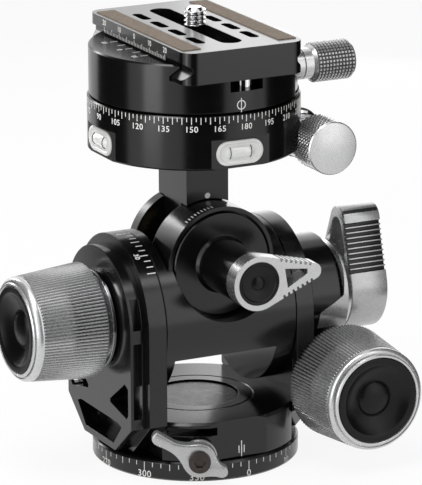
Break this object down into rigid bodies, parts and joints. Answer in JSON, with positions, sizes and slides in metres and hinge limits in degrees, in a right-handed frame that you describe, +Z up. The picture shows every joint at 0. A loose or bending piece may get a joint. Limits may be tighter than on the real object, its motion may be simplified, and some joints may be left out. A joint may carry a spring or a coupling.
{
  "type": "geared tripod head",
  "caption": "Geared tripod head: panning base, worm-driven tilt and roll axes with large knobs, release levers, and a panning quick-release clamp with a camera plate.",
  "frame": {"origin": "centre of the base disc's underside, on the thread that takes the tripod's stud", "axes": "+Z up along the pan axis through the camera screw; +X to the side of the tilt gearbox; the tilt knob and the release lever of the roll axis face -Y"},
  "size_m": [0.1164, 0.0769, 0.1348],
  "materials": {
    "black_anodised": "satin anodised",
    "knob_grey": "satin anodised, knurled",
    "clamp_grey": "satin anodised",
    "black_rubber": "matte",
    "grip_rubber": "textured",
    "chrome_trim": "polished",
    "steel": "turned",
    "gear_brass": "machined",
    "vial": "clear",
    "socket_screw": "blackened"
  },
  "bodies": {
    "base": {"base_disc": "black_anodised", "tripod_bush": "steel", "pan_cap": "steel"},
    "yoke": {"yoke_base": "black_anodised", "left_cheek": "black_anodised", "right_cheek": "black_anodised", "left_frame": "black_anodised", "trunnion_bushes": "gear_brass", "cheek_screws": "steel", "brake_shoe": "gear_brass", "tilt_gearbox": "black_anodised", "gearbox_cover": "black_anodised", "tilt_knob_ring": "chrome_trim"},
    "tilt_frame": {"tilt_body": "black_anodised", "tilt_wheel": "gear_brass", "front_cap": "black_anodised", "rear_cap": "black_anodised", "roll_knob_ring": "chrome_trim"},
    "roll_drive": {"roll_worm": "steel", "roll_knob": "knob_grey", "roll_knob_cap": "black_rubber"},
    "tilt_drive": {"tilt_worm": "steel", "tilt_knob": "knob_grey", "tilt_knob_cap": "black_rubber"},
    "tilt_release": {"wing_flange": "knob_grey", "wing_lever": "knob_grey", "release_rod": "steel"},
    "roll_release": {"triangular_lever": "knob_grey", "triangular_cap": "black_rubber", "roll_release_rod": "steel"},
    "stem": {"stem_block": "black_anodised", "roll_wheel": "gear_brass", "roll_axle": "steel", "pan_housing": "black_anodised", "front_vial": "vial", "left_vial": "vial", "pan_retainer": "steel", "lock_washer": "chrome_trim"},
    "pan_lock": {"lock_knob": "knob_grey", "lock_screw": "steel"},
    "clamp": {"upper_disc": "black_anodised", "jaw_guides": "steel"},
    "jaw": {"clamp_jaw": "clamp_grey"},
    "clamp_drive": {"clamp_knob": "knob_grey", "clamp_screw": "steel"},
    "pin": {"safety_pin": "chrome_trim"},
    "plate": {"camera_plate": "black_anodised", "left_grip": "grip_rubber", "right_grip": "grip_rubber"},
    "stud": {"camera_screw": "chrome_trim"},
    "base_lock": {"base_lock_lever": "knob_grey", "base_lock_screw": "steel", "lever_cap_screw": "socket_screw"}
  },
  "joints": [
    {"name": "base_pan", "type": "hinge", "parent": "base", "child": "yoke", "pos_m": [0, 0, 0], "axis": [0, 0, 1], "continuous": true},
    {"name": "base_lock_turn", "type": "hinge", "parent": "yoke", "child": "base_lock", "pos_m": [0, 0, 0.008], "axis": [-0.4147, -0.91, 0], "range_deg": [-20, 45]},
    {"name": "tilt", "type": "hinge", "parent": "yoke", "child": "tilt_frame", "pos_m": [0, 0, 0.045], "axis": [1, 0, 0], "range_deg": [-90, 30]},
    {"name": "tilt_knob_turn", "type": "hinge", "parent": "yoke", "child": "tilt_drive", "pos_m": [0.0368, 0, 0.0225], "axis": [0, 1, 0], "range_deg": [-1800, 5400]},
    {"name": "tilt_release_turn", "type": "hinge", "parent": "yoke", "child": "tilt_release", "pos_m": [0, 0, 0.045], "axis": [1, 0, 0], "range_deg": [0, 60]},
    {"name": "roll", "type": "hinge", "parent": "tilt_frame", "child": "stem", "pos_m": [0, 0, 0.0618], "axis": [0, 1, 0], "range_deg": [-40, 25]},
    {"name": "roll_knob_turn", "type": "hinge", "parent": "tilt_frame", "child": "roll_drive", "pos_m": [0, 0, 0.045], "axis": [1, 0, 0], "range_deg": [-1920, 1200]},
    {"name": "roll_release_turn", "type": "hinge", "parent": "tilt_frame", "child": "roll_release", "pos_m": [0, 0, 0.0618], "axis": [0, 1, 0], "range_deg": [-60, 0]},
    {"name": "top_pan", "type": "hinge", "parent": "stem", "child": "clamp", "pos_m": [0, 0, 0.1], "axis": [0, 0, 1], "continuous": true},
    {"name": "pan_lock_turn", "type": "hinge", "parent": "stem", "child": "pan_lock", "pos_m": [0.0315, 0, 0.0946], "axis": [0, 1, 0], "range_deg": [-270, 0]},
    {"name": "jaw_slide", "type": "slide", "parent": "clamp", "child": "jaw", "axis": [1, 0, 0], "range_m": [0, 0.0016]},
    {"name": "clamp_turn", "type": "hinge", "parent": "jaw", "child": "clamp_drive", "pos_m": [0.0316, -0.006, 0.1154], "axis": [1, 0, 0], "range_deg": [0, 720]},
    {"name": "pin_press", "type": "slide", "parent": "clamp", "child": "pin", "axis": [0, 0, -1], "range_m": [0, 0.0011], "stiffness_N_per_m": 300},
    {"name": "plate_slide", "type": "slide", "parent": "clamp", "child": "plate", "axis": [0, 1, 0], "range_m": [-0.02, 0.02]},
    {"name": "stud_turn", "type": "hinge", "parent": "plate", "child": "stud", "pos_m": [0, -0.001, 0.125], "axis": [0, 0, 1], "continuous": true}
  ],
  "couplings": [
    {"joint": "tilt_knob_turn", "follows": "tilt", "ratio": -60},
    {"joint": "roll_knob_turn", "follows": "roll", "ratio": 48},
    {"joint": "clamp_turn", "follows": "jaw_slide", "rad_per_m": 7854}
  ]
}
